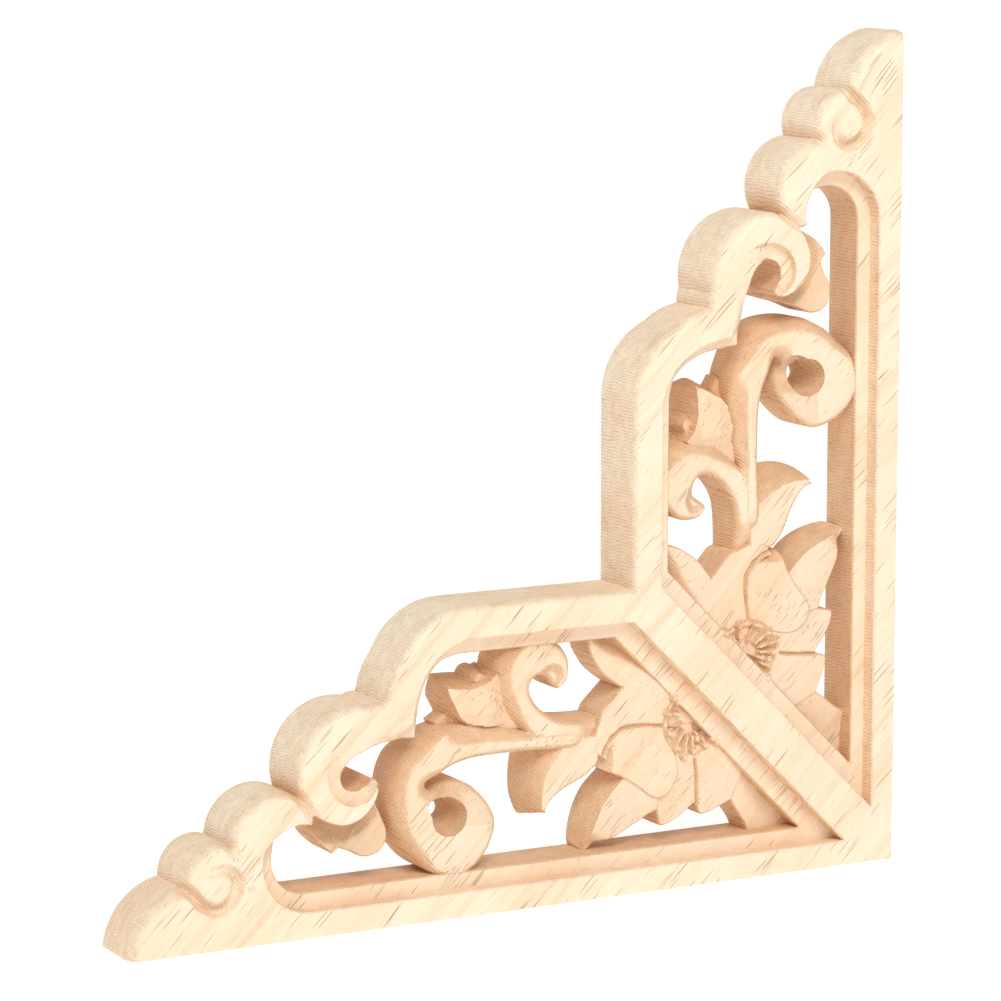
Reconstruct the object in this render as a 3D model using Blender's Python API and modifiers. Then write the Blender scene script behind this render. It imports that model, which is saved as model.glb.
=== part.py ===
"""Carved wooden corner onlay: two legs at a right angle, a scalloped inner side, and pierced scrollwork.

The piece stands upright as it is seen: the right angle is at the lower right, the front faces -Y, and the
back is flat. It is mirror-symmetric about the diagonal through the right angle, so one half is modelled and
mirrored. Half coordinates are millimetres from the right-angle corner: u along the leg, v away from the
leg's outer edge, and depth d back from the front plane.
"""

import math

import bpy
import bmesh
from mathutils import Matrix, Vector

MM = 0.001

# Overall size.
LEG = 200.0
THICK = 16.0

# Moulded border of each leg, of the arch and of the diagonal strap.
BAND = 6.0
REBATE_EDGE = 9.6
REBATE_DEPTH = 4.2
ARCH_STEP = 64.8
ARCH_EDGE = 60.8
ARCH_TOP = 72.4
STRAP_STEP = 7.6
STRAP_EDGE = 14.4

# Scallops along the inner side, from the tip to the arch: centre u, centre v, radius, round-over.
SCALLOPS = (
    (183.6, -1.5, 16.6, 2.4),
    (178.1, 15.3, 8.4, 1.8),
    (163.6, 22.2, 11.6, 1.8),
    (143.5, 36.8, 15.1, 1.8),
)
ARCH_CENTRE = (116.0, 54.0)
ARCH_RADIUS = 18.4
LOBE_DROP = 0.02
BODY_EDGE = 1.4

# The end of the window under the tip.
WINDOW_END = (155.5, 18.0)
STEP_RADIUS = 12.0
EDGE_RADIUS = 8.2

# Front depths of the carved layers, back from the front plane.
SCROLL_DEPTH = 4.0
UPPER_SCROLL_DEPTH = 4.5
FRILL_LOBE_DEPTH = 6.3
FRILL_TOOTH_DEPTH = 5.7
LEAF_DEPTH = 5.6
BUD_DEPTH = 6.2
BUD_BACK_DEPTH = 8.2
SCROLL_EDGE = 1.9
LEAF_EDGE = 1.2
CRISP_EDGE = 0.0

# The conical pit in the eye of the lower scroll: centre, radius at the front plane and at the back.
EYE = (118.6, 22.8)
EYE_FRONT_RADIUS = 5.3
EYE_BACK_RADIUS = 2.1

# Threads of the flower's heart, by angle from +u towards +v.
HEART = (48.5, 40.5)
STAMEN_ANGLES = (8, -13, -34, -55, -78)
STAMEN_NEAR = 5.0
STAMEN_FAR = 10.6
STAMEN_WIDTH = 1.1
STAMEN_DEPTH = 4.4

OVERRUN = 3.0
CORNER_SPILL = 20.0


def clear_scene():
    for old in list(bpy.data.objects):
        bpy.data.objects.remove(old, do_unlink=True)


def new_collection(name):
    made = bpy.data.collections.new(name)
    bpy.context.scene.collection.children.link(made)
    return made


def wood_material():
    made = bpy.data.materials.new("rubberwood")
    made.use_nodes = True
    shader = made.node_tree.nodes["Principled BSDF"]
    shader.inputs["Base Color"].default_value = (0.86, 0.66, 0.46, 1.0)
    shader.inputs["Roughness"].default_value = 0.62
    shader.inputs["Metallic"].default_value = 0.0
    made.diffuse_color = (0.86, 0.66, 0.46, 1.0)
    return made


def arc(centre, radius, start, end, steps):
    """Points along an arc, by angle in degrees from +u towards +v."""
    turns = [math.radians(start + (end - start) * i / steps) for i in range(steps + 1)]
    return [(centre[0] + radius * math.cos(a), centre[1] + radius * math.sin(a)) for a in turns]


def bend(points, steps=3):
    """A smooth stretch through the points, as a Catmull-Rom spline."""
    guides = [points[0]] + list(points) + [points[-1]]
    made = [points[0]]
    for a, b, c, d in zip(guides, guides[1:], guides[2:], guides[3:]):
        for i in range(1, steps + 1):
            t = i / steps
            made.append(
                tuple(
                    0.5
                    * (
                        2 * b[k]
                        + (c[k] - a[k]) * t
                        + (2 * a[k] - 5 * b[k] + 4 * c[k] - d[k]) * t * t
                        + (3 * b[k] - a[k] - 3 * c[k] + d[k]) * t * t * t
                    )
                    for k in (0, 1)
                )
            )
    return made


def without_repeats(points, least=0.25):
    """The outline with points nearer than `least` to the one before dropped."""
    kept = []
    for p in points:
        if not kept or math.dist(p, kept[-1]) > least:
            kept.append(p)
    if math.dist(kept[0], kept[-1]) <= least:
        kept.pop()
    return kept


def slab(name, outline, front, back, edge, group):
    """An outline extruded from depth `front` to depth `back`, its rims rounded by `edge`."""
    points = without_repeats(outline)
    curve = bpy.data.curves.new(name, "CURVE")
    curve.dimensions = "2D"
    curve.fill_mode = "BOTH"
    curve.bevel_depth = edge * MM
    curve.bevel_resolution = 1
    curve.offset = -edge * MM
    curve.extrude = ((back - front) / 2 - edge) * MM
    spline = curve.splines.new("POLY")
    spline.points.add(len(points) - 1)
    for target, (u, v) in zip(spline.points, points):
        target.co = (u * MM, v * MM, 0.0, 1.0)
    spline.use_cyclic_u = True
    guide = bpy.data.objects.new(name + "_outline", curve)
    bpy.context.scene.collection.objects.link(guide)
    guide.location.z = (front + back) / 2 * MM
    bpy.context.view_layer.update()
    graph = bpy.context.evaluated_depsgraph_get()
    mesh = bpy.data.meshes.new_from_object(guide.evaluated_get(graph))
    mesh.transform(guide.matrix_world)
    bpy.data.objects.remove(guide, do_unlink=True)
    tidy_mesh(mesh)
    made = bpy.data.objects.new(name, mesh)
    group.objects.link(made)
    return made


def tidy_mesh(mesh):
    shape = bmesh.new()
    shape.from_mesh(mesh)
    bmesh.ops.remove_doubles(shape, verts=shape.verts, dist=0.00001)
    bmesh.ops.recalc_face_normals(shape, faces=shape.faces)
    shape.to_mesh(mesh)
    shape.free()


def block(name, low, high, group):
    """A box between two corners, in half coordinates."""
    mesh = bpy.data.meshes.new(name)
    shape = bmesh.new()
    bmesh.ops.create_cube(shape, size=1.0)
    for vert in shape.verts:
        vert.co = Vector(
            ((low[k] + high[k]) / 2 + vert.co[k] * (high[k] - low[k])) * MM for k in range(3)
        )
    shape.to_mesh(mesh)
    shape.free()
    made = bpy.data.objects.new(name, mesh)
    group.objects.link(made)
    return made


def eye_pit(group):
    """A cone from before the front plane to past the back, for the pit and the hole in the scroll's eye."""
    taper = (EYE_FRONT_RADIUS - EYE_BACK_RADIUS) / THICK
    mesh = bpy.data.meshes.new("eye_pit")
    shape = bmesh.new()
    bmesh.ops.create_cone(
        shape,
        cap_ends=True,
        segments=20,
        radius1=(EYE_FRONT_RADIUS + taper * OVERRUN) * MM,
        radius2=(EYE_BACK_RADIUS - taper * OVERRUN) * MM,
        depth=(THICK + 2 * OVERRUN) * MM,
    )
    shape.to_mesh(mesh)
    shape.free()
    mesh.transform(Matrix.Translation((EYE[0] * MM, EYE[1] * MM, THICK / 2 * MM)))
    made = bpy.data.objects.new("eye_pit", mesh)
    group.objects.link(made)
    return made


def combine(target, other, operation):
    """A Boolean of `other` on `target`; `other` becomes a hidden helper."""
    step = target.modifiers.new(other.name, "BOOLEAN")
    step.operation = operation
    step.object = other
    step.solver = "MANIFOLD"
    other.hide_render = True
    other.display_type = "WIRE"


def body_outline():
    """The bar of the leg, the roots of the scallops and the arch, in one flat sheet past the diagonal."""
    arch = arc(ARCH_CENTRE, ARCH_RADIUS, 24, 90, 8)
    return (
        [(-CORNER_SPILL, -OVERRUN), (194, -OVERRUN), (190, 6), (177, 13), (165, 20), (155, 28), (146, 38)]
        + [(144.5, 48)]
        + bend([(142, 50.6), (139.6, 52.0), (136.9, 52.2)])
        + bend([(136.9, 52.2), (135.5, 57), arch[0]])
        + arch
        + [(60, ARCH_TOP)]
    )


def rebate_outline():
    """The sunk border round the window, bounded by the step lines on its outer side."""
    return (
        [(STRAP_STEP + BAND, BAND)]
        + arc(WINDOW_END, STEP_RADIUS, -90, 10, 8)
        + bend([(167.3, 20.1), (165.4, 23.0), (161.8, 25.5), (159.0, 26.6)], 2)
        + [(157, 23), (137, 20), (133, 32)]
        + bend([(130, 42), (129.6, 49), (127.2, 56), (122.8, 61.6), (116, ARCH_STEP)])
        + [(STRAP_STEP + ARCH_STEP, ARCH_STEP)]
    )


def window_outline():
    """The opening through the board, round the curl of the large scallop and under the arch."""
    return (
        [(STRAP_EDGE + REBATE_EDGE, REBATE_EDGE)]
        + arc((WINDOW_END[0], REBATE_EDGE + EDGE_RADIUS), EDGE_RADIUS, -90, 12, 6)
        + bend([(163.5, 19.5), (162.9, 22.6), (161.2, 25.4), (157.7, 26.1)])
        + bend([(157.7, 26.1), (155.4, 25.9), (154.6, 27.9)])
        + bend([(154.6, 27.9), (151.8, 26.3), (148.1, 25.0), (144.6, 25.4), (141.8, 27.0), (139.8, 29.2)])
        + bend([(139.8, 29.2), (138.8, 31.6), (138.8, 33.6), (139.7, 34.9), (141.3, 33.4)])
        + bend([(141.3, 33.4), (142.9, 32.2), (145.0, 32.3), (146.6, 33.1), (147.7, 36.2)])
        + bend([(147.7, 36.2), (147.2, 38.2), (145, 40.4), (141, 42.0), (134, 42.7), (127.4, 42.3)])
        + bend([(127.4, 42.3), (126.9, 47), (125.9, 52), (123.6, 56.6), (120.4, 59.6), (116, ARCH_EDGE)])
        + [(STRAP_EDGE + ARCH_EDGE, ARCH_EDGE)]
    )


def curl_step_outline():
    """The sunk crescent beside the eye of the large scallop's curl."""
    return bend([(151.6, 37.5), (150.5, 32.6), (146.8, 29.5), (142.6, 29.5), (139.6, 31.8)]) + [
        (139.2, 35.4),
        (142, 36),
        (145, 40),
        (149.5, 41.5),
    ]


def volute_groove_outline():
    """The crescent sunk round the small boss on the second scallop."""
    boss = (178.0, 14.9)
    outer = arc(boss, 6.9, -158, 24, 10)
    inner = arc((boss[0] + 0.5, boss[1] + 1.4), 5.2, 24, -158, 10)
    return outer + inner


def lower_scroll_outline():
    return bend(
        [(78, 41), (90, 40), (98, 40.6), (104, 42), (112, 43.4), (119.5, 43), (126, 40.6), (130, 37.6)]
        + [(132.2, 33), (132.9, 27), (132.2, 21.4), (129.9, 16.4), (126, 12.1), (121, 9.2), (115.5, 8.4)]
        + [(111.4, 10.4), (108.2, 14), (106.6, 18), (106.4, 21.2), (107.7, 24.2), (109.9, 27), (112.3, 29.3)]
        + [(114.8, 30.6), (117.4, 30.7), (119.8, 30.2), (122, 29.2), (123.4, 29.6), (123.4, 31)]
        + [(121.3, 32.6), (117.5, 34.5), (112.5, 35.7), (107, 36), (98, 36), (88, 35.5), (78, 36)]
    )


def upper_scroll_outline():
    return bend(
        [(72, 37.6), (80, 37.2), (88, 36.9), (95.5, 38.8), (99.8, 41.8), (102.7, 45), (104.5, 48.8)]
        + [(105.3, 53), (104.9, 57.4), (102.6, 61.2), (98.5, 62.6), (93, 62.2), (89, 60), (86.9, 56.8)]
        + [(86.7, 53.5), (87.4, 51.2), (89.2, 49.7), (90.6, 50.6), (92, 52.4), (94.6, 53.4), (96.6, 52)]
        + [(96.8, 49.5), (95, 46.3), (91.8, 43.7), (87.8, 42.2), (80, 41.7), (72, 42)]
    )


def frill_tooth_outline():
    return (
        bend([(158.5, 27), (155.6, 25.5), (153.5, 23.6), (151.4, 20.5), (149, 18.2), (147.7, 17.2)])
        + bend([(147.7, 17.2), (145.8, 18.6), (143.2, 20.2), (140.5, 23)])
        + [(140, 29), (148, 29), (156, 29)]
    )


def frill_lobe_outline():
    return (
        bend([(146.8, 18.6), (144.6, 17.8), (142.4, 16.9), (140.6, 15.8), (138.6, 15.5), (135.8, 16.0)])
        + bend([(135.8, 16.0), (134.1, 18.0), (133.7, 21), (134.6, 23.5), (135.9, 26.8), (137.6, 33)])
        + [(141, 33), (148, 28)]
    )


def leaf_outline():
    return (
        bend([(96.2, 38), (96.5, 35), (97.1, 31), (97.3, 26), (96.8, 23), (95.6, 19.9), (93.9, 18.7)])
        + bend([(93.9, 18.7), (92.8, 20.6), (91.6, 23), (87.9, 25.6), (82.4, 27.8), (79.9, 29.5)])
        + [(78.2, 31.5), (77.6, 38)]
    )


def bud_outline():
    return (
        bend([(100, 42.4), (107, 42.6), (112, 43.0), (116.4, 44.2)])
        + bend([(116.4, 44.2), (117.4, 47.6), (118.4, 50.4), (117.8, 53.4)])
        + bend([(117.8, 53.4), (114, 52.9), (110.6, 52.6)])
        + [(106, 56), (100, 48)]
    )


def bud_back_outline():
    return bend([(104, 50), (111.2, 52.2), (110.9, 54.2), (109.4, 55.8), (106.0, 55.3), (103, 58)])


def petals():
    """The petals that spread from the flower's heart by the strap: name, front depth, outline."""
    return (
        (
            "petal_top",
            6.6,
            bend([(72.4, 48.3), (76.8, 51.7), (78.8, 54.4), (80.3, 57), (80.9, 59.6), (81.5, 64)])
            + [(72, 66), (52, 46), (58, 40)],
        ),
        (
            "petal_upper",
            5.4,
            bend([(79.6, 38), (78.6, 40.8), (77.7, 43.3), (75.0, 45.9), (72.4, 48.4)])
            + [(68, 49), (56, 46), (52, 38), (78, 34)],
        ),
        (
            "petal_foot",
            7.6,
            bend([(41.7, 17.6), (39.6, 14.6), (37.4, 11.6), (36, 8.6)])
            + [(24, 8.6), (20, 8), (16, 12), (44, 36)],
        ),
        (
            "petal_lower",
            6.2,
            bend([(51.6, 19.0), (51.1, 16.9), (50.1, 15.3), (46.9, 15.9), (43.3, 17.2), (41.5, 17.9)])
            + [(38, 26), (46, 38), (54, 34)],
        ),
        (
            "petal_bottom",
            5.8,
            bend([(62.5, 18.4), (61.9, 15.9), (61.3, 13.8), (58.5, 14.2), (55.2, 15.9), (51.5, 18.6)])
            + [(49, 30), (54, 40), (62, 34)],
        ),
        (
            "petal_corner",
            6.8,
            bend([(72, 28.4), (75.2, 25.6), (77.5, 23.3), (79.4, 20.2), (80.6, 17), (81.3, 14), (81.6, 11.1)])
            + bend([(81.6, 11.1), (81.0, 9.4), (78.2, 11.4), (73, 12.4), (67.8, 15), (64.6, 16.8)])
            + [(62.2, 17.7), (60, 30)],
        ),
        (
            "petal_left",
            4.9,
            bend(
                [(60, 37.6), (66.5, 38.7), (73.7, 37.4), (76.3, 35), (77.7, 32.2), (77.6, 29.6), (72.5, 27)]
                + [(69.5, 25.2), (66.8, 23.2), (62.2, 20.7), (57.9, 24), (57.3, 27), (57.8, 30.5)]
            ),
        ),
    )


def stamen_outline(angle):
    """A thread that radiates from the flower's heart, half under the strap, and swells to a round end."""
    run = Vector((math.cos(math.radians(angle)), math.sin(math.radians(angle))))
    side = Vector((-run.y, run.x)) * STAMEN_WIDTH / 2
    foot = Vector(HEART) + run * STAMEN_NEAR
    head = Vector(HEART) + run * STAMEN_FAR
    knob = arc(head, STAMEN_WIDTH * 0.8, angle - 135, angle + 135, 4)
    return [tuple(foot - side)] + knob + [tuple(foot + side)]


def carve_half(parts, helpers):
    """One half, with every carved layer joined on and the back and the leg's edge cut flat."""
    back = THICK + OVERRUN
    half = slab("corner_onlay", body_outline(), 0.0, back, BODY_EDGE, parts)
    for number, (u, v, radius, edge) in enumerate(SCALLOPS, start=1):
        disc = slab(
            f"scallop_{number}",
            arc((u, v), radius, 0, 345, 23),
            number * LOBE_DROP,
            back + 0.2 * number,
            edge,
            helpers,
        )
        combine(half, disc, "UNION")
    cuts = (
        ("rebate", rebate_outline(), -OVERRUN, REBATE_DEPTH),
        ("window", window_outline(), -OVERRUN, back + OVERRUN),
        ("curl_step", curl_step_outline(), -OVERRUN, 2.0),
        ("volute_groove", volute_groove_outline(), -OVERRUN, 2.6),
    )
    for name, outline, front, end in cuts:
        combine(half, slab(name, outline, front, end, 0.0, helpers), "DIFFERENCE")
    layers = [
        ("frill_lobe", FRILL_LOBE_DEPTH, frill_lobe_outline(), CRISP_EDGE),
        ("frill_tooth", FRILL_TOOTH_DEPTH, frill_tooth_outline(), CRISP_EDGE),
        ("bud_back", BUD_BACK_DEPTH, bud_back_outline(), CRISP_EDGE),
        ("bud", BUD_DEPTH, bud_outline(), CRISP_EDGE),
        ("leaf", LEAF_DEPTH, leaf_outline(), LEAF_EDGE),
        ("lower_scroll", SCROLL_DEPTH, lower_scroll_outline(), SCROLL_EDGE),
        ("upper_scroll", UPPER_SCROLL_DEPTH, upper_scroll_outline(), SCROLL_EDGE),
    ]
    layers += [(name, depth, outline, CRISP_EDGE) for name, depth, outline in petals()]
    for number, (name, depth, outline, edge) in enumerate(layers):
        layer = slab(name, outline, depth, back + 0.15 * number, edge, helpers)
        combine(half, layer, "UNION")
    for number, angle in enumerate(STAMEN_ANGLES):
        end = back + 0.1 * (number + 1)
        stamen = slab(f"stamen_{number + 1}", stamen_outline(angle), STAMEN_DEPTH, end, 0.0, helpers)
        combine(half, stamen, "UNION")
    combine(half, eye_pit(helpers), "DIFFERENCE")
    stock = block("stock", (-CORNER_SPILL - OVERRUN, 0, -1), (LEG + OVERRUN, 90, THICK), helpers)
    combine(half, stock, "INTERSECT")
    return half


def mirror_half(half, helpers):
    """The other leg, by a mirror on the diagonal plane through the right angle."""
    plane = bpy.data.objects.new("diagonal", None)
    plane.rotation_euler = (0.0, 0.0, math.radians(-45))
    helpers.objects.link(plane)
    mirror = half.modifiers.new("other_leg", "MIRROR")
    mirror.mirror_object = plane
    mirror.use_axis = (True, False, False)
    mirror.use_bisect_axis = (True, False, False)
    mirror.merge_threshold = 0.00001


def stand_upright(objects):
    """Half coordinates to the part's frame: u runs to -X, v to +Z and depth to +Y."""
    pose = bpy.data.objects.new("pose", None)
    bpy.context.scene.collection.objects.link(pose)
    pose.location = (LEG / 2 * MM, -THICK / 2 * MM, 0.0)
    pose.rotation_euler = (math.radians(90), 0.0, math.radians(180))
    for obj in objects:
        obj.parent = pose


def main():
    clear_scene()
    parts = new_collection("wooden_corner_onlay")
    helpers = new_collection("cutters")
    half = carve_half(parts, helpers)
    mirror_half(half, helpers)
    half.data.materials.clear()
    half.data.materials.append(wood_material())
    stand_upright(list(parts.objects) + list(helpers.objects))


if __name__ == "__main__":
    main()
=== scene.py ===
"""Looks of the carved wooden corner onlay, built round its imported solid.

The carving is one height field over the plan of a leg: every carved layer is an outline with its own depth
function, and the layers are triangulated together, so that walls stand exactly on the outlines. Half
coordinates are millimetres from the right-angle corner: u along the leg, v away from the leg's outer edge,
and depth d back from the front plane. The other leg is the mirror image on the diagonal u = v.
"""

import math

import bpy
import numpy as np
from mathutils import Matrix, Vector
from mathutils.geometry import delaunay_2d_cdt

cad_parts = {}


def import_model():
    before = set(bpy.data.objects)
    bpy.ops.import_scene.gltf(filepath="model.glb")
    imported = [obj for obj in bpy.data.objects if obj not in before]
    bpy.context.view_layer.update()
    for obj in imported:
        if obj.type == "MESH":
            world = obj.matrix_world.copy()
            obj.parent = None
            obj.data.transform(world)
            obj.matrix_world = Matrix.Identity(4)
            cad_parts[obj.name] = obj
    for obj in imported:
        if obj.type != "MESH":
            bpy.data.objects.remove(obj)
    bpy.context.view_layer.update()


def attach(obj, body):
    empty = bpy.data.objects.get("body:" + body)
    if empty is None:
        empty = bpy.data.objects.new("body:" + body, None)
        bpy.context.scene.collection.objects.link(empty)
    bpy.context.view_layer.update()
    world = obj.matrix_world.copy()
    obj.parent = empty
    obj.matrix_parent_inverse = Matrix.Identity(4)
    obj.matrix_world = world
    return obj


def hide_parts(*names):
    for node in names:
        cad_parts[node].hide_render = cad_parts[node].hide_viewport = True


MM = 0.001
NODE = "corner_onlay"

# Overall size and the moulded border, as in the solid.
LEG = 200.0
THICK = 16.0
BAND = 6.0
REBATE_EDGE = 9.6
REBATE_DEPTH = 4.2
ARCH_STEP = 64.8
ARCH_EDGE = 60.8
ARCH_TOP = 72.4
STRAP_STEP = 7.6
STRAP_EDGE = 14.4
WINDOW_END = (155.5, 18.0)
STEP_RADIUS = 12.0
EDGE_RADIUS = 8.2
OVERRUN = 3.0
CORNER_SPILL = 20.0

# Scallops from the tip to the arch: centre u, centre v, radius, width of the round-over, its depth.
SCALLOPS = (
    (183.46, -1.5, 16.6, 2.2, 2.6),
    (178.1, 15.3, 8.4, 1.6, 1.8),
    (163.6, 22.2, 11.6, 1.6, 1.8),
    (143.5, 36.8, 15.1, 1.6, 1.8),
)

# The arch, and width and depth of the rounding on the bar and the arch.
ARCH_CENTRE = (116.0, 54.0)
ARCH_RADIUS = 18.4
BODY_RIM = (1.4, 1.4)

# The small volute on the second scallop: its middle and reach, and its winding groove's depth and half width.
VOLUTE = (179.0, 14.5)
VOLUTE_REACH = 8.6
VOLUTE_GROOVE_DEPTH = 2.6
VOLUTE_GROOVE_HALF = 1.9

# Valleys between the scallops, each with the length over which it fades, and their half width and depth.
VALLEYS = (
    (((161.0, 35.6), (158.3, 32.6), (156.6, 30.3), (154.9, 27.6), (154.0, 25.6)), 18.0),
    (((176.2, 25.0), (175.2, 23.2), (173.4, 19.4)), 6.5),
)
VALLEY_HALF = 1.6
VALLEY_DEPTH = 2.3

# Middle of the large scallop's curl, and the depth of the sunk crescent beside it.
CURL_EYE = (143.5, 36.5)
CURL_STEP_DEPTH = 1.9

# Depth of each layer's face behind the front.
FRILL_LOBE_TOP = 6.2
FRILL_TOOTH_TOP = 5.6
WEB_TOP = 7.2
HEART_TOP = 6.0
BUD_BACK_TOP = 8.2
BUD_TOP = 6.2
LEAF_TOP = 5.2
LOWER_SCROLL_TOP = 4.0
UPPER_SCROLL_TOP = 4.4

# The lower scroll's eye: its middle, the radii of its pit and hole, the pit's depth at its edge, and its fall.
EYE = (118.6, 22.8)
EYE_RADIUS = 4.5
HOLE_RADIUS = 2.2
EYE_TOP = 4.6
EYE_FALL = 10.6

# The flower's heart: its middle, the depth of its bowl, how far its marks reach, and its threads. Each thread
# starts at the given share of the way from its foot to its end.
HEART = (53.6, 38.4)
HEART_BOWL = 1.2
HEART_REACH = 10.5
STAMEN_START = 0.36
STAMEN_FEET = ((56.8, 42.1), (54.5, 39.3), (54.1, 37.9), (53.7, 36.8), (52.1, 36.1), (49.5, 34.6))
STAMEN_ENDS = (
    ((59.0, 44.8), (60.7, 41.1), (60.0, 36.5), (58.2, 32.6), (55.9, 30.4), (53.2, 31.4))
    + ((51.9, 34.0), (50.0, 32.6), (47.0, 32.8))
)

# Creases between petals.
CREASE = ((77.8, 32.2), (76.7, 34.7), (75.1, 36.8), (72.2, 38.7), (68.8, 39.0), (65.7, 38.8), (61.7, 38.4))
LOWER_CREASE = ((52.6, 29), (51.9, 24), (51.5, 20), (51.3, 18))

# Edges and ridges where a face turns to a falling flank, the flanks' far sides, and both as regions.
BUD_EDGE = (
    ((108, 52.6), (111.2, 51.7), (115, 51.9), (118.0, 52.5))
    + ((117.1, 50.1), (115.8, 47.6), (114.6, 45.3), (112.6, 43.6))
)
BUD_FACE = np.array(BUD_EDGE + ((106, 42), (98, 40), (98, 60), (104, 56)))
LEAF_RIDGE = ((86, 38), (88.4, 34.8), (91.4, 31.8), (93.2, 28.6), (93.9, 25), (93.8, 21.6), (92.9, 20.8))
LEAF_SIDE = ((96.2, 38), (96.5, 35), (97.1, 31), (97.3, 28.5), (97.3, 26), (96.8, 23), (95.6, 19.9))
LEAF_LEFT = LEAF_SIDE + ((94.9, 18.9), (93.9, 18.7), (93.0, 19.4))
LEAF_FLANK = np.array(LEAF_RIDGE + ((92, 18), (100, 18), (100, 40)))
CORNER_RIDGE = ((71.2, 26.8), (74.1, 23.6), (76.7, 20.1), (78.8, 15.5), (80.6, 11.1), (80.9, 9.4))
CORNER_LEFT = ((72, 28.4), (75.2, 25.6), (77.5, 23.3), (79.4, 20.2), (80.6, 17), (81.3, 14), (81.6, 11.1))
CORNER_FLANK = np.array(CORNER_RIDGE + ((83, 9.4), (83, 30), (71.2, 30)))

# Plan spacing of the mesh on carved faces, on flat faces, along the outlines and in the flower's heart, and
# the number of straight pieces between two points of a bend.
FINE_STEP = 0.52
COARSE_STEP = 3.2
OUTLINE_STEP = 0.55
HEART_STEP = 0.3
BEND_STEPS = 8

# Distances below which points of the front and of the back are one, a point is on the diagonal, and two
# depths need no wall between them.
SNAP = 0.001
BACK_SNAP = 0.00001
ON_MIRROR = 0.001
SAME_DEPTH = 0.002

# Width of the soft arris along cut edges, and the angle in degrees from which an edge is sharp.
ARRIS = 0.32
SHARP_ANGLE = 38

# How far from the window's edge a wall counts as an inner one; inner walls get painted shade, partly the
# darker router-cut wood.
INNER_REACH = 0.3

# The glue line's place across the grain, the cutter's step, and length, thickness and width of a pore's cell.
GLUE_LINE = 46.3
RASTER = 0.55
PORE_CELL = (17.0, 0.4, 0.4)
LONG_PORE_CELL = (30.0, 0.9, 0.9)

# Tones of the wood and its marks, with painted shade for the window's walls and the cutter's grooves, as
# display values from 0 to 255.
TONES = {
    "stave_left": (252, 235, 210),
    "stave_right": (252, 232, 206),
    "cloud": (250, 213, 176),
    "ring": (238, 194, 150),
    "pale_ring": (255, 240, 216),
    "fibre": (226, 178, 130),
    "end_grain": (222, 170, 118),
    "inner_wall_shade_and_burn": (214, 158, 98),
    "pore": (152, 96, 50),
    "cutter_groove_shade": (184, 124, 66),
    "fuzz": (255, 242, 214),
}

# The camera's lens in millimetres, place in metres and turn in degrees.
CAMERA_LENS = 147.3
CAMERA_PLACE = (-0.440763, -0.816584, 0.244526)
CAMERA_TURN = (80.8147, -0.0124, -28.1740)

# The stage: strength of the even surround, the floor's paint and glow, and the lamp overhead.
SURROUND = 0.42
FLOOR_PAINT = 0.7
FLOOR_GLOW = 0.6
KEY_PLACE = (-0.35, -1.05, 1.25)
KEY_AIM = (0, 0, 0.1)
KEY_SIZE = 0.8
KEY_POWER = 15.0
KEY_TINT = (1.0, 0.985, 0.96)


def arc(centre, radius, start, end, steps):
    """Points along an arc, by angle in degrees from +u towards +v."""
    turns = [math.radians(start + (end - start) * i / steps) for i in range(steps + 1)]
    return [(centre[0] + radius * math.cos(a), centre[1] + radius * math.sin(a)) for a in turns]


def bend(points):
    """A smooth stretch through the points, as a Catmull-Rom spline."""
    guides = [points[0]] + list(points) + [points[-1]]
    made = [points[0]]
    for a, b, c, d in zip(guides, guides[1:], guides[2:], guides[3:]):
        for i in range(1, BEND_STEPS + 1):
            t = i / BEND_STEPS
            made.append(
                tuple(
                    0.5
                    * (
                        2 * b[k]
                        + (c[k] - a[k]) * t
                        + (2 * a[k] - 5 * b[k] + 4 * c[k] - d[k]) * t * t
                        + (3 * b[k] - a[k] - 3 * c[k] + d[k]) * t * t * t
                    )
                    for k in (0, 1)
                )
            )
    return made


def body_outline():
    """The bar of the leg, the roots of the scallops and the arch, in one flat sheet past the diagonal."""
    arch = arc(ARCH_CENTRE, ARCH_RADIUS, 24, 90, 40)
    return (
        [(-CORNER_SPILL, -OVERRUN), (194, -OVERRUN), (190, 6), (178, 11), (168, 14), (158, 19), (149, 31)]
        + [(143, 40), (141.5, 46.5)]
        + bend([(142, 50.6), (139.6, 52.0), (136.9, 52.2)])
        + bend([(136.9, 52.2), (135.5, 57), arch[0]])
        + arch
        + [(60, ARCH_TOP)]
    )


def rebate_outline():
    """The sunk border round the window, bounded by the step lines on its outer side."""
    return (
        [(STRAP_STEP + BAND, BAND)]
        + arc(WINDOW_END, STEP_RADIUS, -90, 10, 40)
        + bend([(167.3, 20.1), (166.6, 21.6), (165.4, 23.0), (163.9, 24.3), (161.8, 25.5), (159.4, 26.4)])
        + [(157, 26.6), (137, 20), (136, 32), (143, 39), (144, 45.9)]
        + bend([(144, 45.9), (142, 45.9), (138, 44.9), (133.6, 45.0), (129.9, 46.6)])
        + bend([(129.9, 46.6), (129.4, 49.5), (127.2, 56), (122.8, 61.6), (116, ARCH_STEP)])
        + [(STRAP_STEP + ARCH_STEP, ARCH_STEP)]
    )


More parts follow.
